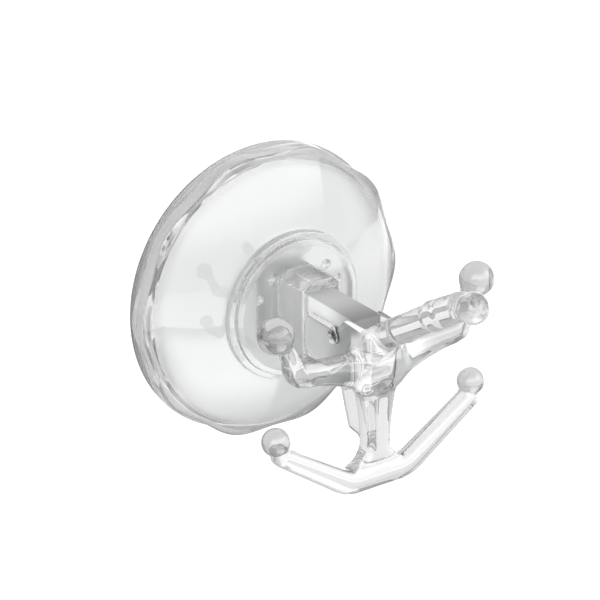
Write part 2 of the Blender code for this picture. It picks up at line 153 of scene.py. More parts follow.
def filleted(points, steps=5):
    # points are (a, b, radius); each corner becomes an arc that meets both sides smoothly
    most = 0.49    # of a side, so that two arcs never meet
    line = []
    for k, (a, b, radius) in enumerate(points):
        if radius <= 0.0 or k in (0, len(points) - 1):
            line.append((a, b))
            continue
        here = Vector((a, b))
        back = Vector(points[k - 1][:2]) - here
        ahead = Vector(points[k + 1][:2]) - here
        half = 0.5 * back.angle(ahead)
        reach = min(radius / math.tan(half), most * back.length, most * ahead.length)
        radius = reach * math.tan(half)
        middle = here + (back.normalized() + ahead.normalized()).normalized() * (radius / math.sin(half))
        start = here + back.normalized() * reach - middle
        end = here + ahead.normalized() * reach - middle
        for step in range(steps + 1):
            turn = -start.angle_signed(end) * step / steps
            c = math.cos(turn)
            s = math.sin(turn)
            line.append((middle.x + c * start.x - s * start.y, middle.y + s * start.x + c * start.y))
    return line


# node helpers

def node(tree, kind, **settings):
    made = tree.nodes.new(kind)
    for key, value in settings.items():
        setattr(made, key, value)
    return made


def put(tree, made, values):
    # feeds a node's inputs: each value is a plain one or another node's output
    for label, value in values.items():
        if isinstance(value, bpy.types.NodeSocket):
            tree.links.new(value, made.inputs[label])
        else:
            made.inputs[label].default_value = value


def maths(tree, operation, a, b=None):
    made = node(tree, "ShaderNodeMath", operation=operation)
    put(tree, made, {0: a} if b is None else {0: a, 1: b})
    return made.outputs[0]


def times(tree, a, b):
    return maths(tree, "MULTIPLY", a, b)


def plus(tree, a, b):
    return maths(tree, "ADD", a, b)


def most(tree, a, b):
    return maths(tree, "MAXIMUM", a, b)


def vectors(tree, operation, values):
    made = node(tree, "ShaderNodeVectorMath", operation=operation)
    put(tree, made, values)
    return made.outputs


def mixed(tree, factor, a, b):
    made = node(tree, "ShaderNodeMix", data_type="FLOAT")
    put(tree, made, {"Factor": factor, "A": a, "B": b})
    return made.outputs["Result"]


def grey(value):
    return (value, value, value)


def scaled(colour, share):
    return tuple(share * v for v in colour)


def shades(tree, factor, a, b, blend="MIX"):
    # mix of two colours, each a plain one or another node's output
    made = node(tree, "ShaderNodeMix", data_type="RGBA", blend_type=blend)
    a, b = [(*v, 1.0) if isinstance(v, tuple) else v for v in (a, b)]
    put(tree, made, {"Factor": factor, "A": a, "B": b})
    return made.outputs["Result"]


def noise(tree, vector, scale, detail, rough):
    made = node(tree, "ShaderNodeTexNoise")
    put(tree, made, {"Vector": vector, "Scale": scale, "Detail": detail, "Roughness": rough})
    return made.outputs["Fac"]


def ramp(tree, value, low, high, toLow=0.0, toHigh=1.0):
    made = node(tree, "ShaderNodeMapRange", interpolation_type="SMOOTHSTEP")
    put(tree, made, {"Value": value, "From Min": low, "From Max": high, "To Min": toLow, "To Max": toHigh})
    return made.outputs["Result"]


def fineRamp(tree, value, low, high, toLow=0.0, toHigh=1.0):
    # ramp over a distance that is given in millimetres
    return ramp(tree, value, low * mm, high * mm, toLow, toHigh)


def objectPlace(tree):
    return node(tree, "ShaderNodeTexCoord").outputs["Object"]


def axes(tree, vector):
    made = node(tree, "ShaderNodeSeparateXYZ")
    put(tree, made, {0: vector})
    return made.outputs["X"], made.outputs["Y"], made.outputs["Z"]


def attribute(tree, name):
    return node(tree, "ShaderNodeAttribute", attribute_name=name).outputs["Fac"]


def bumped(tree, shader, height, depth, strength=1.0):
    bump = node(tree, "ShaderNodeBump")
    put(tree, bump, {"Height": height, "Distance": depth * mm, "Strength": strength})
    put(tree, shader, {"Normal": bump.outputs["Normal"]})


# shared material effects; each noise is (scale, detail, roughness)

skinGrain = {
    "flow": (60.0, 1.0, 0.4), "ripple": (240.0, 2.0, 0.5), "rippleShare": 0.12,
    "scratch": (900.0, 3.0, 0.6), "scratchCut": (0.60, 0.72),
    "patch": (35.0, 2.0, 0.5), "patchCut": (0.45, 0.65),
}
matteGrain = {
    "fine": (2600.0, 2.0, 0.6), "broad": (180.0, 3.0, 0.55), "broadShare": 0.6,
    "roughness": (0.3, 0.7, -0.05, 0.07),
}


def newGroup(name, ins, outs):
    group = bpy.data.node_groups.new(name, "ShaderNodeTree")
    for label, value in ins.items():
        socket = group.interface.new_socket(label, in_out="INPUT", socket_type="NodeSocketFloat")
        socket.default_value = value
    for label in outs:
        group.interface.new_socket(label, in_out="OUTPUT", socket_type="NodeSocketFloat")
    return group, group.nodes.new("NodeGroupInput").outputs, group.nodes.new("NodeGroupOutput")


def effect(tree, group, values):
    # a shared effect placed in a material with that material's own values
    made = node(tree, "ShaderNodeGroup", node_tree=group)
    put(tree, made, values)
    return made.outputs


def mouldedSkin():
    # slow flow waves, a little haze and fine scuffs, as on handled injection-moulded plastic
    g = skinGrain
    group, start, end = newGroup("mouldedSkin", {"Flow": 1.0, "Haze": 0.03, "Scuff": 0.1},
                                 ("Mask", "Roughness", "Height"))
    place = objectPlace(group)
    ripple = times(group, noise(group, place, *g["ripple"]), g["rippleShare"])
    waves = plus(group, noise(group, place, *g["flow"]), ripple)
    scuffs = ramp(group, noise(group, place, *g["scratch"]), *g["scratchCut"])
    patch = ramp(group, noise(group, place, *g["patch"]), *g["patchCut"])
    mask = times(group, scuffs, patch)
    rough = plus(group, start["Haze"], times(group, mask, start["Scuff"]))
    put(group, end, {"Mask": mask, "Roughness": rough, "Height": times(group, waves, start["Flow"])})
    return group


def dullGrain():
    # dull fine texture of an unpolished mould, with faint blotches
    g = matteGrain
    group, start, end = newGroup("matteGrain", {"Grain": 1.0, "Base": 0.5}, ("Blotch", "Roughness", "Height"))
    place = objectPlace(group)
    broad = noise(group, place, *g["broad"])
    height = plus(group, noise(group, place, *g["fine"]), times(group, broad, g["broadShare"]))
    rough = plus(group, start["Base"], ramp(group, broad, *g["roughness"]))
    put(group, end, {"Blotch": broad, "Roughness": rough, "Height": times(group, height, start["Grain"])})
    return group


skinGroup = mouldedSkin()
grainGroup = dullGrain()


def newMaterial(name):
    material = bpy.data.materials.new(name)
    material.use_nodes = True
    tree = material.node_tree
    return material, tree, tree.nodes["Principled BSDF"], tree.nodes["Material Output"]


# rays with more bounces or mirrorings than these pass straight through clear plastic
clearRays = {
    "bounces": 9.5, "mirrorings": 2.5, "faint": 0.72, "through": 0.96, "scuffed": 0.985, "facing": 0.5,
}


def clearPlastic(name, look):
    # glassy plastic; lamps shine through it so that the parts behind it stay lit
    c = clearRays
    material, tree, shader, output = newMaterial(name)
    put(tree, shader, {"Transmission Weight": 1.0, "IOR": look["ior"], "Specular IOR Level": look["mirror"]})
    skin = effect(tree, skinGroup, {"Flow": look["flow"], "Haze": look["haze"], "Scuff": look["scuff"]})
    tint = shades(tree, skin["Mask"], look["tint"], scaled(look["tint"], c["scuffed"]))
    # painted shade: points with a grey share take a darker tint, standing in for the dim room that the
    # plastic bends and mirrors there
    tint = shades(tree, attribute(tree, "grey"), tint, grey(look["paintedShadeTint"]))
    # painted shade: the tint turns glass edges dark, standing in for the unlit sides of the room that they
    # bend the eye's ray to
    facing = node(tree, "ShaderNodeLayerWeight")
    put(tree, facing, {"Blend": c["facing"]})
    path = node(tree, "ShaderNodeLightPath").outputs
    rim = times(tree, ramp(tree, facing.outputs["Facing"], *look["edgeAt"]), path["Is Camera Ray"])
    tint = shades(tree, rim, tint, grey(look["edge"]))
    rough = skin["Roughness"]
    if "backHaze" in look:
        rough = plus(tree, rough, times(tree, attribute(tree, "inner"), look["backHaze"]))
    put(tree, shader, {"Base Color": tint, "Roughness": rough})
    bumped(tree, shader, skin["Height"], look["bump"])
    spent = most(tree, maths(tree, "GREATER_THAN", path["Ray Depth"], c["bounces"]),
                 maths(tree, "GREATER_THAN", path["Glossy Depth"], c["mirrorings"]))
    # in a first reflection, clear parts are only faintly there
    outside = maths(tree, "LESS_THAN", path["Transmission Depth"], 0.5)
    faint = times(tree, times(tree, outside, path["Is Glossy Ray"]), c["faint"])
    spent = most(tree, path["Is Shadow Ray"], most(tree, spent, faint))
    through = node(tree, "ShaderNodeBsdfTransparent")
    put(tree, through, {"Color": (*grey(c["through"]), 1.0)})
    mix = node(tree, "ShaderNodeMixShader")
    put(tree, mix, {"Fac": spent, 1: shader.outputs["BSDF"], 2: through.outputs["BSDF"]})
    depth = node(tree, "ShaderNodeVolumeAbsorption")
    put(tree, depth, {"Color": (*look["depthColour"], 1.0), "Density": look["depth"]})
    put(tree, output, {"Surface": mix.outputs["Shader"], "Volume": depth.outputs["Volume"]})
    return material


# geometry trees

def newTree(name, kinds):
    # gives the tree, its ends, and the identifier of each named input
    tree = bpy.data.node_groups.new(name, "GeometryNodeTree")
    sockets = {}
    for label, kind in {"Geometry": "Geometry", **kinds}.items():
        made = tree.interface.new_socket(label, in_out="INPUT", socket_type="NodeSocket" + kind)
        sockets[label] = made.identifier
    tree.interface.new_socket("Geometry", in_out="OUTPUT", socket_type="NodeSocketGeometry")
    return tree, tree.nodes.new("NodeGroupInput").outputs, tree.nodes.new("NodeGroupOutput"), sockets


def coated(tree, shape, finish, end):
    # a tree's last steps: real geometry, then its material
    real = node(tree, "GeometryNodeRealizeInstances")
    put(tree, real, {"Geometry": shape})
    coat = node(tree, "GeometryNodeSetMaterial")
    put(tree, coat, {"Geometry": real.outputs["Geometry"], "Material": finish})
    put(tree, end, {"Geometry": coat.outputs["Geometry"]})


def turnedTree():
    # turns a profile about the wall's normal and ripples its rim
    tree, start, end, sockets = newTree("turnedShell", {
        "Segments": "Int", "Sides": "Int", "Wave": "Float", "Finish": "Material",
    })
    profile = node(tree, "GeometryNodeMeshToCurve")
    put(tree, profile, {"Mesh": start["Geometry"]})
    ring = node(tree, "GeometryNodeCurvePrimitiveCircle", mode="RADIUS")
    put(tree, ring, {"Radius": 1.0, "Resolution": start["Segments"]})
    skinned = node(tree, "GeometryNodeCurveToMesh")
    put(tree, skinned, {"Curve": ring.outputs["Curve"], "Profile Curve": profile.outputs["Curve"]})
    x, y, _ = axes(tree, node(tree, "GeometryNodeInputPosition").outputs[0])
    crest = maths(tree, "COSINE", times(tree, maths(tree, "ARCTAN2", y, x), start["Sides"]))
    share = node(tree, "GeometryNodeInputNamedAttribute", data_type="FLOAT")
    put(tree, share, {"Name": "ripple"})
    swell = times(tree, times(tree, crest, start["Wave"]), share.outputs["Attribute"])
    flat = node(tree, "ShaderNodeCombineXYZ")
    put(tree, flat, {"X": x, "Y": y})
    outward = vectors(tree, "NORMALIZE", {0: flat.outputs[0]})[0]
    push = vectors(tree, "SCALE", {0: outward, "Scale": swell})[0]
    shift = node(tree, "GeometryNodeSetPosition")
    put(tree, shift, {"Geometry": skinned.outputs["Mesh"], "Offset": push})
    turn = node(tree, "GeometryNodeTransform")
    put(tree, turn, {"Geometry": shift.outputs["Geometry"], "Rotation": (-0.5 * math.pi, 0.0, 0.0)})
    weld = node(tree, "GeometryNodeMergeByDistance")
    put(tree, weld, {"Geometry": turn.outputs["Geometry"], "Distance": weldGaps["sweep"]})
    coated(tree, weld.outputs["Geometry"], start["Finish"], end)
    return tree, sockets


shellTree, shellSockets = turnedTree()


def turned(name, profile, segments, sides, wave, material):
    # profile: (radius, out, ripple) from the axis round to the axis again
    mesh = bpy.data.meshes.new(name)
    verts = [(r * mm - 1.0, out * mm, 0.0) for r, out, _ in profile]    # the ring has a radius of 1 m
    mesh.from_pydata(verts, [(k, k + 1) for k in range(len(verts) - 1)], [])
    share = mesh.attributes.new("ripple", "FLOAT", "POINT")
    share.data.foreach_set("value", [p[2] for p in profile])
    ob = addObject(name, mesh)
    mod = ob.modifiers.new("turned", "NODES")
    mod.node_group = shellTree
    for label, value in (("Segments", segments), ("Sides", sides), ("Wave", wave * mm), ("Finish", material)):
        mod[shellSockets[label]] = value
    applied(ob)
    facedOut(ob.data, weldGaps["shell"])
    return ob


def marked(ob, name, rule):
    # own attribute: the rule gives a share for a point's distance from the axis and the wall, and its height
    share = ob.data.attributes.new(name, "FLOAT", "POINT")
    share.data.foreach_set("value", [
        float(rule(math.hypot(v.co.x, v.co.z) / mm, -v.co.y / mm, v.co.z / mm)) for v in ob.data.vertices
    ])


rimShade = {"fade": 0.5, "reach": 43.0}    # reach is the height where the rim is palest


def level(z):
    # the rim is palest at its top and bottom, where it faces the light and the floor
    return 1.0 - rimShade["fade"] * min(1.0, abs(z) / rimShade["reach"]) ** 2


# suction cup

cupSizes = {
    "radius": 43.3, "lipWidth": 4.4, "lipThick": 1.0, "lipSlope": 2.2, "lipEdge": 0.35, "slopeRound": 1.2,
    "skirt": 2.4, "skirtFrom": 5.0, "hollow": 3.6, "hollowRound": 0.8,
    "bossRadius": 15.4, "bossTop": 11.4, "bossFoot": 1.2, "bossRound": (1.0, 0.9),
    "backSteps": 24, "frontSteps": 19, "segments": 240, "sharp": 40.0,
}
cupLook = {
    "tint": (0.80, 0.805, 0.805), "ior": 1.42, "mirror": 0.5, "haze": 0.25, "scuff": 0.12, "flow": 1.0,
    "bump": 0.03, "edge": 0.12, "edgeAt": (0.35, 0.85), "depthColour": (0.5, 0.5, 0.51), "depth": 8.0,
    "paintedShadeTint": 0.15, "shadeWide": 2.4, "shadeNarrow": 0.9, "shadeShare": 0.75,
}

barSizes = {
    "halfWidth": 4.3, "halfHeight": 9.2, "end": 52.0, "nose": 12.0, "noseSteps": 24, "edge": 0.45,
    "footHalfWidth": 7.6, "footHalfHeight": 10.8, "footThick": 2.0, "footOut": 5.6, "footEdge": 0.3,
    "footSunk": 0.5, "gap": 0.3, "slotLow": 1.0, "slotHigh": 2.0,
}
pinSizes = {
    "radius": 1.8, "out": 44.2, "height": 2.4, "halfLength": 5.3, "chamfer": 0.35, "play": 0.06,
    "boreHalf": 9.0, "segments": 64,
}


def barSlot(start, end):
    # room for the bar between two distances from the wall
    b = barSizes
    return block("slot", b["halfWidth"] + b["gap"], b["halfHeight"] + b["gap"], start, end)


def makeCup():
    s = cupSizes
    b = barSizes
    g = b["gap"]
    inner = s["radius"] - s["lipWidth"]
    start = inner - s["skirtFrom"]
    end = s["bossRadius"] + s["skirt"]

    def under(r):
        return s["hollow"] * (1.0 - (r / inner) ** 2)

    back = [(inner * k / s["backSteps"], under(inner * k / s["backSteps"])) for k in range(s["backSteps"])]
    lip = filleted([
        (*back[-1], 0.0), (inner, 0.0, s["hollowRound"]), (s["radius"], 0.0, s["lipEdge"]),
        (s["radius"], s["lipThick"], s["lipEdge"]), (inner - s["lipSlope"], s["lipThick"], s["slopeRound"]),
        (start, under(start) + s["skirt"], 0.0),
    ])[1:-1]
    front = []
    for k in range(s["frontSteps"] + 1):
        r = start + (end - start) * k / s["frontSteps"]
        front.append((r, under(r) + s["skirt"]))
    low, high = s["bossRound"]
    top = filleted([
        (*front[-1], 0.0), (s["bossRadius"], s["hollow"] + s["skirt"] + s["bossFoot"], low),
        (s["bossRadius"], s["bossTop"], high), (0.0, s["bossTop"], 0.0),
    ])[1:]
    profile = [(r, out, 0.0) for r, out in back + lip + front + top]
    cup = turned("cup", profile, s["segments"], 0, 0.0, cupMaterial)
    pocket = block("pocket", b["footHalfWidth"] + g, b["footHalfHeight"] + g,
                   b["footOut"] - g, b["footOut"] + b["footThick"] + g)
    combined(pocket, [barSlot(b["footOut"] + b["slotLow"], s["bossTop"] + b["slotHigh"])], "UNION")
    combined(cup, [pocket], "DIFFERENCE")

    def lipShade(r, out, z):
        if r > s["radius"] - cupLook["shadeNarrow"]:
            return level(z)
        return level(z) * cupLook["shadeShare"] * (r > s["radius"] - cupLook["shadeWide"])

    # painted shade: the thick lip is tinted greyer, and darkest along its outer edge
    marked(cup, "grey", lipShade)
    return shaded(cup, cupMaterial, s["sharp"])


cupMaterial = clearPlastic("softClear", cupLook)
cup = makeCup()
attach(cup, "cup_and_bar")
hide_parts("suction_cup")
print("cup made", len(cup.data.polygons))


# dome with its rippled rim, stepped collar and boss

domeSizes = {
    "corner": 43.5, "flat": 42.0, "sides": 10, "segments": 320, "sharp": 30.0,
    "rimFront": 7.0, "rimBack": 1.3, "rimWall": 2.4, "rimDip": (0.2, 0.1), "rimRound": (0.9, 1.1, 0.5),
    "rimTurn": 1.0, "rimStep": 0.3, "foot": (39.0, 8.8), "top": (22.5, 15.7), "wall": 2.4,
    "outerSteps": 28, "innerSteps": 23, "innerStart": 0.4,
    "collar": ((22.0, 17.9), (20.3, 19.6), 18.6), "collarWall": 2.4, "collarDraft": (0.1, 0.5),
    "collarLap": (0.2, 1.0), "collarRound": (1.2, 0.5, 0.3, 0.5, 0.4), "ceilingEdge": 0.3,
    "bossHalfWidth": 6.3, "bossHalfHeight": 12.8, "bossChamfer": 2.4, "bossOut": 30.5, "bossEdge": 0.6,
    "bossBevel": (3, 25.0), "guide": 5.4, "slotFrom": 7.0,
    "dimpleRing": 14.5, "dimpleRadius": 1.6, "dimpleDepth": 1.1, "dimpleAngles": (24.0, 51.0, 129.0, 156.0),
    "dimpleMesh": (24, 12),
}
domeLook = {
    "tint": (0.815, 0.82, 0.82), "ior": 1.49, "mirror": 0.5, "haze": 0.0, "backHaze": 0.3, "scuff": 0.10,
    "flow": 1.0, "bump": 0.02, "edge": 0.2, "edgeAt": (0.6, 0.95), "depthColour": (0.5, 0.5, 0.51),
    "depth": 30.0, "paintedShadeTint": 0.62, "shadeFrom": (37.4, 39.2, 0.8), "shadeWall": (1.0, 1.6),
    "bossShade": 0.3, "bossFrom": 0.6, "backEdge": (0.5, 0.3),
}


def dimpleCutters(s):
    # one small ball at each dimple, placed on points by nodes
    tree, start, end, sockets = newTree("collarDimples", {"Radius": "Float", "Finish": "Material"})
    segments, rings = s["dimpleMesh"]
    ball = node(tree, "GeometryNodeMeshUVSphere")
    put(tree, ball, {"Segments": segments, "Rings": rings, "Radius": start["Radius"]})
    each = node(tree, "GeometryNodeInstanceOnPoints")
    put(tree, each, {"Points": start["Geometry"], "Instance": ball.outputs["Mesh"]})
    coated(tree, each.outputs["Instances"], start["Finish"], end)
    # a ball that cuts a dimple of the given width and depth into the collar's face
    radius = (s["dimpleRadius"] ** 2 + s["dimpleDepth"] ** 2) / (2.0 * s["dimpleDepth"])
    out = s["collar"][1][1] - s["dimpleDepth"] + radius
    points = []
    for angle in s["dimpleAngles"]:
        a = math.radians(angle)
        points.append(spot(s["dimpleRing"] * math.cos(a), out, s["dimpleRing"] * math.sin(a)))
    mesh = bpy.data.meshes.new("dimplePoints")
    mesh.from_pydata(points, [], [])
    ob = addObject("dimpleCutters", mesh)
    mod = ob.modifiers.new("dimples", "NODES")
    mod.node_group = tree
    mod[sockets["Radius"]] = radius * mm
    mod[sockets["Finish"]] = domeMaterial
    return applied(ob)


def bossBlock(s, start):
    w, h, c = s["bossHalfWidth"], s["bossHalfHeight"], s["bossChamfer"]
    outline = [(-w + c, -h), (w - c, -h), (w, -h + c), (w, h - c)]
    outline += [(-x, -z) for x, z in outline]
    boss = fromBmesh("boss", slab(outline, frontways, start, s["bossOut"]))
    return softened(boss, s["bossEdge"], *s["bossBevel"])


def makeDome():
    s = domeSizes
    look = domeLook
    mean = 0.5 * (s["corner"] + s["flat"])
    wave = 0.5 * (s["corner"] - s["flat"])
    footR, footOut = s["foot"]
    topR, topOut = s["top"]
    centre = (footR ** 2 + footOut ** 2 - topR ** 2 - topOut ** 2) / (2.0 * (footOut - topOut))
    sphere = math.hypot(footR, footOut - centre)
    (ringA, outA), (ringB, outB), face = s["collar"]

    def skin(radius, wall=0.0):
        return centre + math.sqrt((sphere - wall) ** 2 - radius ** 2)

    # outside: collar, dome and rim
    draft, drop = s["collarDraft"]
    lap, reach = s["collarLap"]
    rounds = s["collarRound"]
    start = topR + reach
    outer = filleted([
        (0.0, outB, 0.0), (face, outB, rounds[0]), (ringB - draft, outB - drop, rounds[1]),
        (ringB, outA, rounds[2]), (ringA, outA - draft, rounds[3]), (ringA, skin(topR) + lap, rounds[4]),
        (start, skin(start), 0.0),
    ])
    profile = [(r, out, 0.0) for r, out in outer]
    for k in range(1, s["outerSteps"] + 1):
        r = start + (footR - start) * k / s["outerSteps"]
        profile.append((r, skin(r), 0.0))
    dip, lift = s["rimDip"]
    rounds = s["rimRound"]
    rimEnd = mean - s["rimTurn"]
    rim = filleted([
        (footR, footOut, 0.0), (0.5 * (footR + mean), 0.5 * (footOut + s["rimFront"]) - dip, rounds[0]),
        (mean, s["rimFront"] + lift, rounds[1]), (mean, s["rimBack"], rounds[2]), (rimEnd, s["rimBack"], 0.0),
    ])
    for r, out in rim[1:]:
        profile.append((r, out, min(1.0, max(0.0, (r - footR) / (rimEnd - footR)))))

    # inside: back of the rim, dome and collar
    inner = mean - wave - s["rimWall"]
    low = inner - s["innerStart"]
    ceiling = outB - s["collarWall"]
    innerCollar = ringA - s["collarWall"]
    profile.append((inner + s["rimStep"], s["rimBack"], 0.0))
    profile.append((inner, s["rimBack"] + s["rimStep"], 0.0))
    for k in range(s["innerSteps"] + 1):
        r = low + (innerCollar - low) * k / s["innerSteps"]
        profile.append((r, skin(r, s["wall"]), 0.0))
    profile += [(r, ceiling, 0.0) for r in (innerCollar - s["ceilingEdge"], 0.5 * innerCollar, 0.0)]
    dome = turned("dome", profile, s["segments"], s["sides"], wave, domeMaterial)
    combined(dome, [bossBlock(s, outB - s["guide"])], "UNION")
    slot = barSlot(s["slotFrom"], s["bossOut"] + barSizes["slotHigh"])
    combined(dome, [slot, dimpleCutters(s)], "DIFFERENCE")

    def behind(r, out, z):
        side, above = look["backEdge"]
        roof = ceiling if r < innerCollar else skin(min(r, low), s["wall"])
        return r < inner - side and out < roof + above

    def wallShade(r, out, z):
        beyond, below = look["shadeWall"]
        if r > footR + beyond and out < s["rimFront"] - below:
            return level(z)
        if out > outB + look["bossFrom"]:
            return look["bossShade"]
        first, full, share = look["shadeFrom"]
        return share * min(1.0, max(0.0, (r - first) / (full - first)))

    # the mould leaves the inner side less polished; painted shade tints the rim's thick wall and the boss
    # greyer
    marked(dome, "inner", behind)
    marked(dome, "grey", wallShade)
    return shaded(dome, domeMaterial, s["sharp"])


domeMaterial = clearPlastic("clearDome", domeLook)
dome = makeDome()
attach(dome, "dome")
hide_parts("housing")
print("dome made", len(dome.data.polygons))


# pull bar; its ranges are along Y, up Z or out from the pin's axis, and the shade follows them

barLook = {
    "colour": (0.72, 0.725, 0.725), "blotch": (0.93, 1.06), "roughness": 0.5, "grain": 1.0,
    "bump": (0.03, 0.6), "tipShade": (-53.0, -37.0, 0.35), "boreShade": (1.95, 2.7, 0.05),
    "topShade": (8.7, 9.1, 0.66), "topFrom": (-32.0, -27.0), "footPale": (-20.0, -14.0, 1.0, 1.4),
    "endPale": (-51.9, -51.5, 0.8), "endTop": (3.5, 6.5), "sharp": 30.0,
}


def barFinish():
    look = barLook
    material, tree, shader, _ = newMaterial("matteGrey")
    grain = effect(tree, grainGroup, {"Grain": look["grain"], "Base": look["roughness"]})
    _, y, z = axes(tree, objectPlace(tree))
    tint = shades(tree, grain["Blotch"], *[scaled(look["colour"], share) for share in look["blotch"]])
    # painted shade: the tip is darkened, where the lever's hub and arms shade it
    low, high, share = look["tipShade"]
    tint = shades(tree, fineRamp(tree, y, low, high), scaled(look["colour"], share), tint)
    # painted shade: the top face is darker in front of the boss; painted light: the bar is palest near the
    # cup, inside the dome
    low, high, share = look["topShade"]
    upper = times(tree, fineRamp(tree, z, low, high), fineRamp(tree, y, *look["topFrom"], 1.0, 0.0))
    tint = shades(tree, upper, tint, grey(share), "MULTIPLY")
    tint = vectors(tree, "SCALE", {0: tint, "Scale": fineRamp(tree, y, *look["footPale"])})[0]
    # painted light: the lower end face is made pale, where it shows through the hub
    low, high, share = look["endPale"]
    beyondEnd = most(tree, fineRamp(tree, y, low, high), fineRamp(tree, z, *look["endTop"]))
    tint = shades(tree, beyondEnd, grey(share), tint)
    # painted shade: the bore is nearly black round the pin
    near, far, share = look["boreShade"]
    ahead = maths(tree, "POWER", plus(tree, y, pinSizes["out"] * mm), 2.0)
    up = maths(tree, "POWER", maths(tree, "SUBTRACT", z, pinSizes["height"] * mm), 2.0)
    away = maths(tree, "SQRT", plus(tree, ahead, up))
    tint = shades(tree, fineRamp(tree, away, near, far), grey(share), tint)
    put(tree, shader, {"Base Color": tint, "Roughness": grain["Roughness"]})
    bumped(tree, shader, grain["Height"], *look["bump"])
    return material


def rod(name, radius, halfLength, chamfer=0.0):
    # round bar along X on the lever's axis, with chamfered ends when asked
    bend = 0.3    # of the chamfer, where it turns
    if chamfer > 0.0:
        rows = [(-halfLength, radius - chamfer), (-halfLength + bend * chamfer, radius - bend * chamfer),
                (-halfLength + chamfer, radius)]
        rows += [(-x, r) for x, r in rows[::-1]]
    else:
        rows = [(-halfLength, radius), (halfLength, radius)]
    p = pinSizes
    count = p["segments"]
    bm = bmesh.new()
    rings = []
    for x, r in rows:
        ring = []
        for k in range(count):
            a = 2.0 * math.pi * k / count
            ring.append(bm.verts.new(spot(x, p["out"] + r * math.cos(a), p["height"] + r * math.sin(a))))
        rings.append(ring)
    for low, high in zip(rings, rings[1:]):
        for k in range(count):
            n = (k + 1) % count
            bm.faces.new((low[k], low[n], high[n], high[k]))
    bm.faces.new(rings[0][::-1])
    bm.faces.new(rings[-1])
    return fromBmesh(name, bm)


def makeBar():
    b = barSizes
    p = pinSizes
    low = math.asin((-b["halfHeight"] - p["height"]) / b["nose"])
    high = -math.acos(min(1.0, (b["end"] - p["out"]) / b["nose"]))
    start = b["footOut"] + b["footSunk"]
    outline = [(start, -b["halfHeight"])]
    for k in range(b["noseSteps"] + 1):
        a = low + (high - low) * k / b["noseSteps"]
        outline.append((p["out"] + b["nose"] * math.cos(a), p["height"] + b["nose"] * math.sin(a)))
    outline += [(b["end"], b["halfHeight"]), (start, b["halfHeight"])]
    bar = fromBmesh("bar", slab(outline, sideways, -b["halfWidth"], b["halfWidth"]))
    softened(bar, b["edge"], 3, 40.0)
    foot = block("foot", b["footHalfWidth"], b["footHalfHeight"], b["footOut"], b["footOut"] + b["footThick"])
    softened(foot, b["footEdge"], 2, 40.0)
    combined(bar, [foot], "UNION")
    combined(bar, [rod("bore", p["radius"] + p["play"], p["boreHalf"])], "DIFFERENCE")
    return shaded(bar, barMaterial, barLook["sharp"])


barMaterial = barFinish()
bar = makeBar()
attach(bar, "cup_and_bar")
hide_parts("pull_stem")
print("bar made", len(bar.data.polygons))


# pin

# the pin is dark steel, kept very dark partly as painted shade for the deep bore it sits in
pinLook = {
    "dark": (0.07, 0.07, 0.075), "light": (0.16, 0.16, 0.165), "drawn": (0.15, 1.0, 1.0),
    "lines": (2200.0, 3.0, 0.6), "roughness": (0.3, 0.7, 0.2, 0.34), "bump": 0.01, "sharp": 30.0,
}


def pinFinish():
    # fine lines along the pin, as drawn wire has
    look = pinLook
    material, tree, shader, _ = newMaterial("drawnSteel")
    stretch = node(tree, "ShaderNodeMapping")
    put(tree, stretch, {"Vector": objectPlace(tree), "Scale": look["drawn"]})
    lines = noise(tree, stretch.outputs["Vector"], *look["lines"])
    put(tree, shader, {
        "Metallic": 1.0, "Base Color": shades(tree, lines, look["dark"], look["light"]),
        "Roughness": ramp(tree, lines, *look["roughness"]),
    })
    bumped(tree, shader, lines, look["bump"])
    return material


pinMaterial = pinFinish()
pin = rod("pin", pinSizes["radius"], pinSizes["halfLength"], pinSizes["chamfer"])
shaded(pin, pinMaterial, pinLook["sharp"])
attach(pin, "cup_and_bar")
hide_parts("pivot_pin")
print("pin made", len(pin.data.polygons))


# lever: one moulding, made as a smooth field whose parts flow into each other
# rods and balls: (out, z, radius) on the middle plane, or (x, out, z, radius)
# prongs: rows of (x, out, z, half height, half depth); stem: rows of (z, half width)

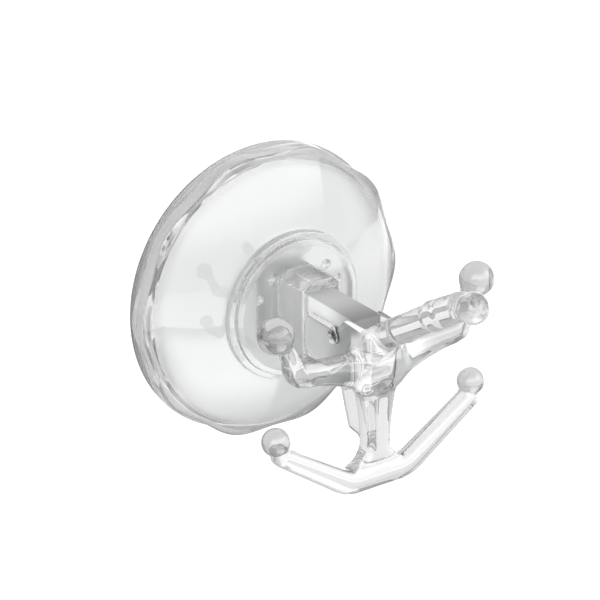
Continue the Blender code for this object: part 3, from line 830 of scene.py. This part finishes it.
leverSizes = {
    "halfWidth": 6.3, "edge": 0.55, "frontEdge": 0.8, "frontFrom": (50.0, 57.0),
    "earEdge": 0.65, "earAbove": (2.5, 4.0), "earBehind": (48.0, 46.0), "earTop": 5.3, "earEase": (0.7, 0.4),
    "camReach": 30.8, "camFall": 3.2, "camFlat": 3.2, "camStep": 0.045, "camMost": 1.2,
    "corner": 3.0, "cornerSteps": 8, "shoulder": 46.0,
    "hubTop": 9.2, "hubFront": 61.2, "hubBack": 57.0, "hubBottom": -11.4,
    "topRound": ((-1.6, 0.0), (-0.4, -0.9), (0.0, -3.0)), "frontDip": ((-0.2, -3.0),),
    "bottomRound": ((-1.6, 4.0), (-4.2, 1.2), (-7.6, 0.0)), "floorRound": ((1.2, 0.0), (0.0, 1.0)),
    "floorStart": 40.4, "floor": -9.6, "floorDraft": 0.4,
    "pocketPlay": 0.5, "pocketHalf": 4.7, "pocketEdge": 0.3,
    "rod": ((54.6, 3.4, 3.85), (80.54, 20.37, 3.85)), "grip": ((81.3, 20.9, 4.3), (90.6, 26.6, 4.0)),
    "rodBall": (0.0, 96.1, 28.2, 4.2),
    "upper": ((0.0, 56.6, -4.6, 5.6, 3.3), (5.2, 56.6, -3.4, 5.3, 3.3), (8.6, 56.7, -2.2, 4.7, 3.2),
              (12.4, 56.8, -1.2, 4.1, 3.1), (16.4, 57.1, -0.2, 3.6, 3.1), (20.4, 57.2, 0.5, 3.2, 3.2),
              (24.0, 57.2, 0.8, 3.1, 3.3), (26.3, 57.1, 1.3, 3.0, 3.3), (27.5, 57.0, 3.2, 2.75, 3.0),
              (28.3, 57.0, 5.8, 2.35, 2.6), (29.6, 57.0, 8.8, 2.2, 2.35), (31.3, 56.9, 11.7, 2.2, 2.2),
              (33.1, 56.9, 14.3, 2.2, 2.2)),
    "upperPower": 3.0, "upperBall": (33.1, 56.9, 14.3, 4.95),
    "stem": ((-7.4, 6.6), (-11.2, 5.8), (-15.0, 5.05), (-18.9, 4.5), (-22.8, 4.1), (-26.6, 4.0),
             (-28.2, 4.5), (-29.8, 5.5), (-31.2, 7.0), (-32.2, 9.0)),
    "stemMiddle": 55.9, "stemHalf": 2.5, "stemPower": 3.6,
    "chin": ((0.0, 0.0), (2.4, 0.4), (4.6, 1.6), (5.9, 3.2), (6.3, 4.8)), "chinStart": 51.2,
    "chinBox": (12.0, 2.0, -18.0),
    "fin": 1.1, "finEdge": 0.35,
    "finOutline": ((55.0, -10.2), (41.0, -10.8), (41.2, -15.0), (43.4, -21.8), (45.1, -26.2), (49.4, -26.7),
                   (51.7, -28.8), (55.0, -32.2)),
    "lower": ((0.0, 56.7, -35.7, 3.4, 2.9), (7.8, 56.7, -35.7, 3.4, 2.9), (10.4, 56.7, -35.1, 3.4, 2.9),
              (12.6, 56.7, -33.9, 3.35, 2.9), (31.2, 56.7, -21.4, 2.7, 2.9)),
    "lowerPower": 2.8, "lowerBall": (32.7, 56.2, -16.8, 3.9),
    "cell": 0.42, "gridLow": (0.0, 29.6, -41.0), "gridHigh": (39.2, 101.4, 34.0), "sharp": 60.0,
}
# how far each join is filled or eased, and how much the flat outlines are
leverJoins = {
    "chin": 1.2, "gripBall": 1.6, "grip": 0.5, "upperBall": 1.2, "lowerBall": 1.0, "stem": 2.6, "upper": 3.2,
    "rod": 1.6, "lower": 1.6, "foot": 0.6, "fin": 0.9, "pocket": 0.5, "bore": 0.25,
    "outlines": (0.42, 0.3, 0.5),
}
leverLook = {
    "tint": (0.93, 0.935, 0.935), "ior": 1.49, "mirror": 0.25, "haze": 0.05, "scuff": 0.08, "flow": 1.0,
    "bump": 0.015, "edge": 0.16, "edgeAt": (0.32, 0.95), "depthColour": (0.5, 0.5, 0.51), "depth": 26.0,
    "paintedShadeTint": 0.56,
}
# painted shade on the lever: where it starts and is full, and its share
leverShadeZones = {
    "left": (7.0, 10.0, 0.62), "right": (12.0, 17.0, 1.0), "stem": (-9.0, -12.0, 0.46),
    "hub": (68.0, 64.0, 0.04), "ears": (47.0, 45.0), "earTops": (3.4, 4.4), "bore": (0.64, 0.24),
    "balls": (1.2, 0.0),
}
outlineGrid = {"step": 0.1, "margin": 6.0, "tail": 3.0}
farOff = 1e9    # a distance that any real one is nearer than
tiny = 1e-9     # these two keep divisions by nothing away
small = 1e-4


def leverOutlines():
    # side views of the hub with its cams and of the fin, front view of the hub's underside
    s = leverSizes
    p = pinSizes
    ease, drop = s["earEase"]
    cam = []
    turn = 0.0
    while True:
        # the cam's radius falls evenly as the lever turns
        reach = p["out"] - s["camReach"] - s["camFall"] * turn
        out = p["out"] - reach * math.cos(turn) - s["camFall"] * math.sin(turn)
        height = p["height"] + reach * math.sin(turn) - s["camFall"] * math.cos(turn)
        if height > s["earTop"] - drop or turn > s["camMost"]:
            break
        cam.append((out, height))
        turn += s["camStep"]
    cam.append((cam[-1][0] + ease, s["earTop"]))
    flatLow = cam[0][1] - s["camFlat"]
    front = s["hubFront"]
    bottom = s["hubBottom"]
    hub = cam + [(s["shoulder"], s["earTop"]), (s["shoulder"] + s["hubTop"] - s["earTop"], s["hubTop"])]
    for key, out, z in (("topRound", front, s["hubTop"]), ("frontDip", front, p["height"]),
                        ("bottomRound", front, bottom), ("floorRound", s["floorStart"], bottom)):
        hub += [(out + a, z + b) for a, b in s[key]]
    hub.append((s["floorStart"] - s["floorDraft"], s["floor"]))
    for k in range(s["cornerSteps"], -1, -1):
        a = math.pi + 0.5 * math.pi * k / s["cornerSteps"]
        hub.append((s["camReach"] + s["corner"] * (1.0 + math.cos(a)), flatLow + s["corner"] * math.sin(a)))
    wide, lift, low = s["chinBox"]
    chin = [(x, bottom + rise) for x, rise in s["chin"]]
    chin += [(wide, chin[-1][1] + lift), (wide, low)]
    chin += [(-x, z) for x, z in chin[:0:-1]]
    return hub, s["finOutline"], chin


def outlineField(outline, blur):
    # signed distance to a closed outline on a fine grid, with its corners eased by a small blur
    pts = np.array(outline)
    step = outlineGrid["step"]
    lowA, lowB = pts.min(axis=0) - outlineGrid["margin"]
    highA, highB = pts.max(axis=0) + outlineGrid["margin"]
    ga, gb = np.meshgrid(np.arange(lowA, highA, step), np.arange(lowB, highB, step), indexing="ij")
    far = np.full(ga.shape, farOff)
    inside = np.zeros(ga.shape, dtype=bool)
    for p0, p1 in zip(pts, np.roll(pts, -1, axis=0)):
        edge = p1 - p0
        length = float(edge @ edge)
        if length < tiny:
            continue
        t = np.clip(((ga - p0[0]) * edge[0] + (gb - p0[1]) * edge[1]) / length, 0.0, 1.0)
        far = np.minimum(far, np.hypot(ga - p0[0] - t * edge[0], gb - p0[1] - t * edge[1]))
        if p0[1] != p1[1]:
            cross = (p0[1] > gb) != (p1[1] > gb)
            inside ^= cross & (ga < (p1[0] - p0[0]) * (gb - p0[1]) / (p1[1] - p0[1]) + p0[0])
    field = np.where(inside, -far, far)
    width = int(math.ceil(outlineGrid["tail"] * blur / step))
    kernel = np.exp(-0.5 * (np.arange(-width, width + 1) * step / blur) ** 2)
    kernel /= kernel.sum()

    def eased(line):
        return np.convolve(np.pad(line, width, mode="edge"), kernel, "valid")

    for axis in (0, 1):
        field = np.apply_along_axis(eased, axis, field)
    return field, lowA, lowB, step


def readField(grid, a, b):
    field, lowA, lowB, step = grid
    u = np.clip((a - lowA) / step, 0.0, field.shape[0] - 1.001)
    v = np.clip((b - lowB) / step, 0.0, field.shape[1] - 1.001)
    i = u.astype(int)
    j = v.astype(int)
    fu = u - i
    fv = v - j
    return ((field[i, j] * (1 - fu) + field[i + 1, j] * fu) * (1 - fv)
            + (field[i, j + 1] * (1 - fu) + field[i + 1, j + 1] * fu) * fv)


def climb(value, start, full):
    # 0 at start, 1 from full on; start may be the larger one
    return np.clip((value - start) / (full - start), 0.0, 1.0)


def plate(flat, x, half, edge):
    # an outline's distance pulled out to a thickness, with rounded edges
    a = flat + edge
    b = np.abs(x) - half + edge
    return np.minimum(np.maximum(a, b), 0.0) + np.hypot(np.maximum(a, 0.0), np.maximum(b, 0.0)) - edge


def capsule(x, out, z, first, second):
    # round bar between two points on the middle plane
    ao, az, ar = first
    bo, bz, br = second
    length = (bo - ao) ** 2 + (bz - az) ** 2
    t = np.clip(((out - ao) * (bo - ao) + (z - az) * (bz - az)) / length, 0.0, 1.0)
    gap = np.sqrt(x ** 2 + (out - ao - t * (bo - ao)) ** 2 + (z - az - t * (bz - az)) ** 2)
    return gap - (ar + t * (br - ar))


def oval(a, b, halfA, halfB, power):
    # distance from a squared-up oval, in a plane across it
    size = np.maximum((np.abs(a) / halfA) ** power + (np.abs(b) / halfB) ** power, tiny) ** (1.0 / power)
    return np.hypot(a, b) * (1.0 - 1.0 / np.maximum(size, small))


def sweep(x, out, z, rows, power):
    # squared-up oval section along a path across the hook
    best = np.full(x.shape, farOff)
    found = np.full(x.shape, farOff)
    for first, second in zip(rows, rows[1:]):
        ax, ao, az, ah, ad = first
        bx, bo, bz, bh, bd = second
        run = math.hypot(bx - ax, bz - az)
        ux, uz = (bx - ax) / run, (bz - az) / run
        t = np.clip(((x - ax) * ux + (z - az) * uz) / run, 0.0, 1.0)
        gap = np.hypot(x - ax - t * run * ux, z - az - t * run * uz)
        across = out - (ao + t * (bo - ao))
        d = oval(gap, across, ah + t * (bh - ah), ad + t * (bd - ad), power)
        nearer = gap < found
        best = np.where(nearer, d, best)
        found = np.where(nearer, gap, found)
    return best


def ballField(x, out, z, place):
    bx, bo, bz, radius = place
    return np.sqrt((x - bx) ** 2 + (out - bo) ** 2 + (z - bz) ** 2) - radius


def blend(a, b, k):
    # union whose seam is filled by about k
    h = np.clip(0.5 + 0.5 * (b - a) / k, 0.0, 1.0)
    return b + (a - b) * h - k * h * (1.0 - h)


def cut(a, b, k):
    return -blend(-a, b, k)


hubGrid, finGrid, chinGrid = [outlineField(*pair) for pair in zip(leverOutlines(), leverJoins["outlines"])]


def leverField(x, out, z):
    # below zero inside the lever, above it outside
    s = leverSizes
    j = leverJoins
    p = pinSizes
    x = np.abs(x)
    rounding = s["edge"] + s["frontEdge"] * climb(out, *s["frontFrom"])
    rounding += s["earEdge"] * climb(z, *s["earAbove"]) * climb(out, *s["earBehind"])
    hub = plate(readField(hubGrid, out, z), x, s["halfWidth"], rounding)
    hub = cut(hub, np.maximum(readField(chinGrid, x, z), s["chinStart"] - out), j["chin"])
    grip = blend(capsule(x, out, z, *s["grip"]), ballField(x, out, z, s["rodBall"]), j["gripBall"])
    middle = blend(capsule(x, out, z, *s["rod"]), grip, j["grip"])
    upper = sweep(x, out, z, s["upper"], s["upperPower"])
    upper = blend(upper, ballField(x, out, z, s["upperBall"]), j["upperBall"])
    lower = sweep(x, out, z, s["lower"], s["lowerPower"])
    lower = blend(lower, ballField(x, out, z, s["lowerBall"]), j["lowerBall"])
    levels, halves = np.array(s["stem"])[::-1].T
    stem = oval(x, out - s["stemMiddle"], np.interp(z, levels, halves), s["stemHalf"], s["stemPower"])
    stem = np.maximum(stem, np.maximum(z - levels[-1], levels[0] - z))
    body = blend(hub, stem, j["stem"])
    body = blend(body, upper, j["upper"])
    body = blend(body, middle, j["rod"])
    body = blend(body, blend(lower, stem, j["lower"]), j["foot"])
    body = blend(body, plate(readField(finGrid, out, z), x, s["fin"], s["finEdge"]), j["fin"])
    # the pocket clears the bar's round nose at every angle, and is open behind and above
    fromAxis = np.hypot(out - p["out"], z - p["height"])
    behind = np.maximum(out - p["out"], s["floor"] - z)
    above = np.maximum(out - s["hubBack"], p["height"] - z)
    flat = np.minimum(fromAxis - (barSizes["nose"] + s["pocketPlay"]), np.minimum(behind, above))
    body = cut(body, plate(flat, x, s["pocketHalf"], s["pocketEdge"]), j["pocket"])
    return cut(body, fromAxis - (p["radius"] + p["play"]), j["bore"])


def surfaceNet(field, low, step):
    # one vertex in each cell that the surface crosses, one face for each grid edge that it crosses
    inside = field < 0.0
    shape = np.array(field.shape) - 1
    count = np.zeros(shape, dtype=np.int8)
    corners = [(i, j, k) for i in (0, 1) for j in (0, 1) for k in (0, 1)]
    for i, j, k in corners:
        count += inside[i:i + shape[0], j:j + shape[1], k:k + shape[2]]
    active = (count > 0) & (count < 8)
    cells = np.argwhere(active)
    number = np.full(shape, -1, dtype=np.int64)
    number[active] = np.arange(len(cells))
    a, b, c = cells.T
    values = np.stack([field[a + i, b + j, c + k] for i, j, k in corners], axis=1)
    total = np.zeros((len(cells), 3))
    crossings = np.zeros(len(cells))
    for a in range(8):
        for b in range(a + 1, 8):
            ca = np.array(corners[a], dtype=float)
            cb = np.array(corners[b], dtype=float)
            if np.abs(ca - cb).sum() != 1:
                continue
            va = values[:, a]
            vb = values[:, b]
            crossed = (va < 0.0) != (vb < 0.0)
            t = np.where(crossed, va / np.where(crossed, va - vb, 1.0), 0.0)
            point = ca + t[:, None] * (cb - ca)
            total += np.where(crossed[:, None], point, 0.0)
            crossings += crossed
    verts = (cells + total / crossings[:, None]) * step + low
    faces = []
    for axis in range(3):
        u, v = (axis + 1) % 3, (axis + 2) % 3
        ahead = np.roll(inside, -1, axis)
        index = [slice(None)] * 3
        index[axis] = slice(0, -1)
        change = (inside != ahead)[tuple(index)]
        spots = np.argwhere(change)
        keep = (spots[:, u] > 0) & (spots[:, v] > 0) & (spots[:, u] < shape[u]) & (spots[:, v] < shape[v])
        spots = spots[keep]
        rings = []
        for du, dv in ((0, 0), (-1, 0), (-1, -1), (0, -1)):
            c = spots.copy()
            c[:, u] += du
            c[:, v] += dv
            rings.append(number[c[:, 0], c[:, 1], c[:, 2]])
        quad = np.stack(rings, axis=1)
        flip = ~inside[spots[:, 0], spots[:, 1], spots[:, 2]]
        quad[flip] = quad[flip][:, ::-1]
        faces.append(quad)
    return verts, np.concatenate(faces)


# a vertex moves at most so far in a round, along a slope that is probed so far to each side
netMoves = {"probe": 0.02, "most": 0.3, "flattest": 0.2, "rounds": 3, "roundsBetween": 2}


def settle(verts, field, rounds):
    # slides each vertex along the field's slope onto the surface
    n = netMoves
    for _ in range(rounds):
        slope = np.zeros_like(verts)
        for axis in range(3):
            aside = np.zeros(3)
            aside[axis] = n["probe"]
            slope[:, axis] = (field(*(verts + aside).T) - field(*(verts - aside).T)) / (2.0 * n["probe"])
        steep = np.maximum((slope ** 2).sum(axis=1), n["flattest"])
        move = -(field(*verts.T) / steep)[:, None] * slope
        length = np.linalg.norm(move, axis=1)
        move *= (np.minimum(length, n["most"]) / np.maximum(length, tiny))[:, None]
        verts = verts + move
    return verts


def relaxed(verts, faces, field):
    # evens the net out, then puts it back on the surface
    for _ in range(netMoves["rounds"]):
        total = np.zeros_like(verts)
        count = np.zeros(len(verts))
        for k in range(4):
            a = faces[:, k]
            b = faces[:, (k + 1) % 4]
            np.add.at(total, a, verts[b])
            np.add.at(total, b, verts[a])
            np.add.at(count, a, 1)
            np.add.at(count, b, 1)
        verts = settle(0.5 * verts + 0.5 * total / count[:, None], field, netMoves["roundsBetween"])
    return verts


def leverShade(verts):
    # painted shade: the side arms, the stem, the ears' tops, the bore's wall and the outer balls are tinted
    # greyer than the rest, standing in for the dim room that they bend and mirror
    g = leverShadeZones
    x, out, z = verts.T
    side = np.abs(x)
    left, right = [share * climb(side, start, full) for start, full, share in (g["left"], g["right"])]
    arms = np.where(x < 0.0, left, right)
    lowered = climb(z, *g["stem"][:2])
    arms = arms * (1.0 - lowered) + g["stem"][2] * lowered
    arms = np.maximum(arms, g["hub"][2] * climb(out, *g["hub"][:2]))
    ears = climb(out, *g["ears"]) * climb(z, *g["earTops"])
    hole = np.hypot(out - pinSizes["out"], z - pinSizes["height"]) - pinSizes["radius"]
    near = np.minimum(*[ballField(side, out, z, leverSizes[key]) for key in ("upperBall", "lowerBall")])
    return np.max([arms, ears, climb(hole, *g["bore"]), climb(near, *g["balls"])], axis=0)


def makeLever():
    s = leverSizes
    step = s["cell"]
    low, high = s["gridLow"], s["gridHigh"]
    xs = np.arange(0.5 * step, high[0], step)
    outs = np.arange(low[1], high[1], step)
    zs = np.arange(low[2], high[2], step)
    half = leverField(*np.meshgrid(xs, outs, zs, indexing="ij"))
    whole = np.concatenate([half[::-1], half], axis=0)
    verts, faces = surfaceNet(whole, np.array([-xs[-1], outs[0], zs[0]]), step)
    verts = settle(verts, leverField, netMoves["rounds"])
    verts = relaxed(verts, faces, leverField)
    mesh = bpy.data.meshes.new("lever")
    points = np.stack([verts[:, 0], -verts[:, 1], verts[:, 2]], axis=1) * mm
    mesh.from_pydata(points.tolist(), [], faces.tolist())
    lever = addObject("lever", mesh)
    facedOut(mesh)
    # the painted shade's share, read by the material as its grey attribute
    share = mesh.attributes.new("grey", "FLOAT", "POINT")
    share.data.foreach_set("value", leverShade(verts))
    return shaded(lever, leverMaterial, s["sharp"])


leverMaterial = clearPlastic("clearLever", leverLook)
lever = makeLever()
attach(lever, "lever")
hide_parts("hook_lever")
print("lever made", len(lever.data.polygons))


# floor, camera, light and view; these sizes are in metres

floorSizes = {
    "side": 3.0, "height": -0.26, "colour": (0.86, 0.86, 0.86), "roughness": 0.9, "seen": 0.45,
    "sheetMiddle": (0.38, 0.55), "sheetReach": (0.5, 1.3), "sheetLight": (0.72, 0.2),
    "panelFront": -0.54, "panelSoft": 0.008, "panelRight": 0.091, "panelLean": 0.262, "rightSoft": 0.01,
    "aheadFar": -2.5, "aheadLight": (3.8, 4.8), "aheadFade": (0.2, 1.0, 1.0, 0.5), "frontLight": 2.1,
    "poolRise": (-0.52, -0.36, 0.0, 3.6), "poolFall": (-0.22, -0.04, 0.0, -5.3),
    "poolLean": 0.614, "poolLeft": (-0.01, 0.085, 0.15, 1.0), "beside": (0.15, 0.9, 0.1, 3.2),
}


def beenInside(tree, path):
    # 1 for rays that have passed a clear surface, 0 for the eye's own and for first reflections
    passed = maths(tree, "GREATER_THAN", path["Transmission Depth"], 0.5)
    return most(tree, passed, path["Is Transmission Ray"])


def floorGlow(tree, path):
    # in a first reflection the floor has a lit panel, with a straight front edge and a leaning right one
    f = floorSizes
    inside = beenInside(tree, path)
    place = objectPlace(tree)
    x, y, _ = axes(tree, place)
    ahead = times(tree, ramp(tree, y, f["aheadFar"], f["panelFront"], *f["aheadLight"]),
                  ramp(tree, x, *f["aheadFade"]))
    pool = plus(tree, ramp(tree, y, *f["poolRise"]), ramp(tree, y, *f["poolFall"]))
    across = maths(tree, "SUBTRACT", x, times(tree, y, f["poolLean"]))
    pool = times(tree, plus(tree, pool, f["frontLight"]), ramp(tree, across, *f["poolLeft"]))
    slant = plus(tree, x, times(tree, y, f["panelLean"]))
    soft = f["rightSoft"]
    left = ramp(tree, slant, f["panelRight"] - soft, f["panelRight"] + soft, 1.0, 0.0)
    pool = most(tree, times(tree, pool, left), ramp(tree, x, *f["beside"]))
    soft = f["panelSoft"]
    nearer = ramp(tree, y, f["panelFront"] - soft, f["panelFront"] + soft)
    direct = most(tree, maths(tree, "SUBTRACT", path["Is Glossy Ray"], inside), 0.0)
    mirrored = times(tree, direct, mixed(tree, nearer, ahead, pool))
    # bent rays see a white sheet that ends some way off
    away = vectors(tree, "DISTANCE", {0: place, 1: (*f["sheetMiddle"], f["height"])})["Value"]
    sheet = most(tree, ramp(tree, away, *f["sheetReach"], *f["sheetLight"]), path["Is Camera Ray"])
    seen = times(tree, most(tree, path["Is Camera Ray"], inside), sheet)
    return plus(tree, times(tree, seen, f["seen"]), mirrored)


def makeFloor():
    f = floorSizes
    half = 0.5 * f["side"]
    bm = bmesh.new()
    corners = ((-half, -half), (half, -half), (half, half), (-half, half))
    bm.faces.new([bm.verts.new((x, y, f["height"])) for x, y in corners])
    floor = fromBmesh("floor", bm, recalc=False)
    material, tree, shader, _ = newMaterial("paleFloor")
    path = node(tree, "ShaderNodeLightPath").outputs
    put(tree, shader, {
        "Base Color": (*f["colour"], 1.0), "Roughness": f["roughness"], "Specular IOR Level": 0.0,
        "Emission Color": (1.0, 1.0, 1.0, 1.0), "Emission Strength": floorGlow(tree, path),
    })
    floor.data.materials.append(material)
    return floor


studio = {
    "fill": 0.75, "keyEdge": (-0.2482, -0.2719, 0.1909), "keySoft": 0.012, "keyRise": (0.02, 0.36),
    "keyLight": (4.3, 7.5), "besideLight": 4.1, "ceiling": (0.5, 0.9, 1.0, 0.3), "behind": (-0.45, 0.0),
    "backLight": 1.5, "sheetToward": (0.52, 0.75, -0.30), "sheetEdge": (0.0, 0.8, 0.5, 1.0),
    "frontGlow": (-0.6, -0.1, 0.55, 0.0),
}


def towards(tree, direction, aim):
    # 1 along the aim, falling to -1 away from it
    return vectors(tree, "DOT_PRODUCT", {0: direction, 1: Vector(aim).normalized()})["Value"]


def makeWorld():
    # white behind everything; shiny surfaces see a big soft key light in front and a dim room round it
    s = studio
    world = bpy.data.worlds.new("studio")
    bpy.context.scene.world = world
    world.use_nodes = True
    tree = world.node_tree
    tree.nodes.clear()
    path = node(tree, "ShaderNodeLightPath").outputs
    direction = node(tree, "ShaderNodeTexCoord").outputs["Generated"]
    _, y, z = axes(tree, direction)
    side = ramp(tree, towards(tree, direction, s["keyEdge"]), -s["keySoft"], s["keySoft"])
    lit = mixed(tree, side, s["besideLight"], ramp(tree, z, *s["keyRise"], *s["keyLight"]))
    lit = times(tree, lit, ramp(tree, z, *s["ceiling"]))
    mirrored = mixed(tree, ramp(tree, y, *s["behind"]), lit, s["backLight"])
    # bent rays see a white sheet behind the hook and a greyer room round it
    ahead = towards(tree, direction, s["sheetToward"])
    bent = plus(tree, ramp(tree, ahead, *s["sheetEdge"]), ramp(tree, ahead, *s["frontGlow"]))
    plain = mixed(tree, path["Is Glossy Ray"], s["fill"], mirrored)
    plain = mixed(tree, beenInside(tree, path), plain, bent)
    light = node(tree, "ShaderNodeBackground")
    bright = mixed(tree, path["Is Camera Ray"], plain, 1.0)
    put(tree, light, {"Color": (1.0, 1.0, 1.0, 1.0), "Strength": bright})
    output = node(tree, "ShaderNodeOutputWorld")
    put(tree, output, {"Surface": light.outputs[0]})


lamps = {
    "keySoftbox": {"place": (-0.90, -0.55, 0.50), "width": 0.5, "height": 0.5, "power": 8.0},
    "fillSoftbox": {"place": (0.8, -0.7, 0.35), "width": 0.25, "height": 0.5, "power": 0.9},
}
lampTarget = (0.0, -0.03, 0.0)


def makeLamp(name, settings):
    # lights the hook, and isn't seen in it
    data = bpy.data.lights.new(name, "AREA")
    data.shape = "RECTANGLE"
    data.size = settings["width"]
    data.size_y = settings["height"]
    data.energy = settings["power"]
    lamp = bpy.data.objects.new(name, data)
    bpy.context.scene.collection.objects.link(lamp)
    lamp.location = settings["place"]
    lamp.rotation_euler = (Vector(lampTarget) - lamp.location).to_track_quat("-Z", "Y").to_euler()
    lamp.visible_camera = False
    lamp.visible_transmission = False
    lamp.visible_glossy = False


# the place is in millimetres, as the hook is
cameraFit = {
    "place": (-337.25, -507.46, 265.78), "toward": (0.52016, 0.75162, -0.40560),
    "lens": 139.54, "sensor": 36.0, "nearest": 0.01, "farthest": 20.0,
}


def makeCamera():
    data = bpy.data.cameras.new("camera")
    data.lens = cameraFit["lens"]
    data.sensor_width = cameraFit["sensor"]
    data.clip_start = cameraFit["nearest"]
    data.clip_end = cameraFit["farthest"]
    camera = bpy.data.objects.new("camera", data)
    bpy.context.scene.collection.objects.link(camera)
    camera.location = Vector(cameraFit["place"]) * mm
    camera.rotation_euler = Vector(cameraFit["toward"]).to_track_quat("-Z", "Y").to_euler()
    bpy.context.scene.camera = camera


makeFloor()
makeWorld()
for lampName, lampSettings in lamps.items():
    makeLamp(lampName, lampSettings)
makeCamera()
bpy.context.scene.view_settings.view_transform = "Standard"
print("stage made")
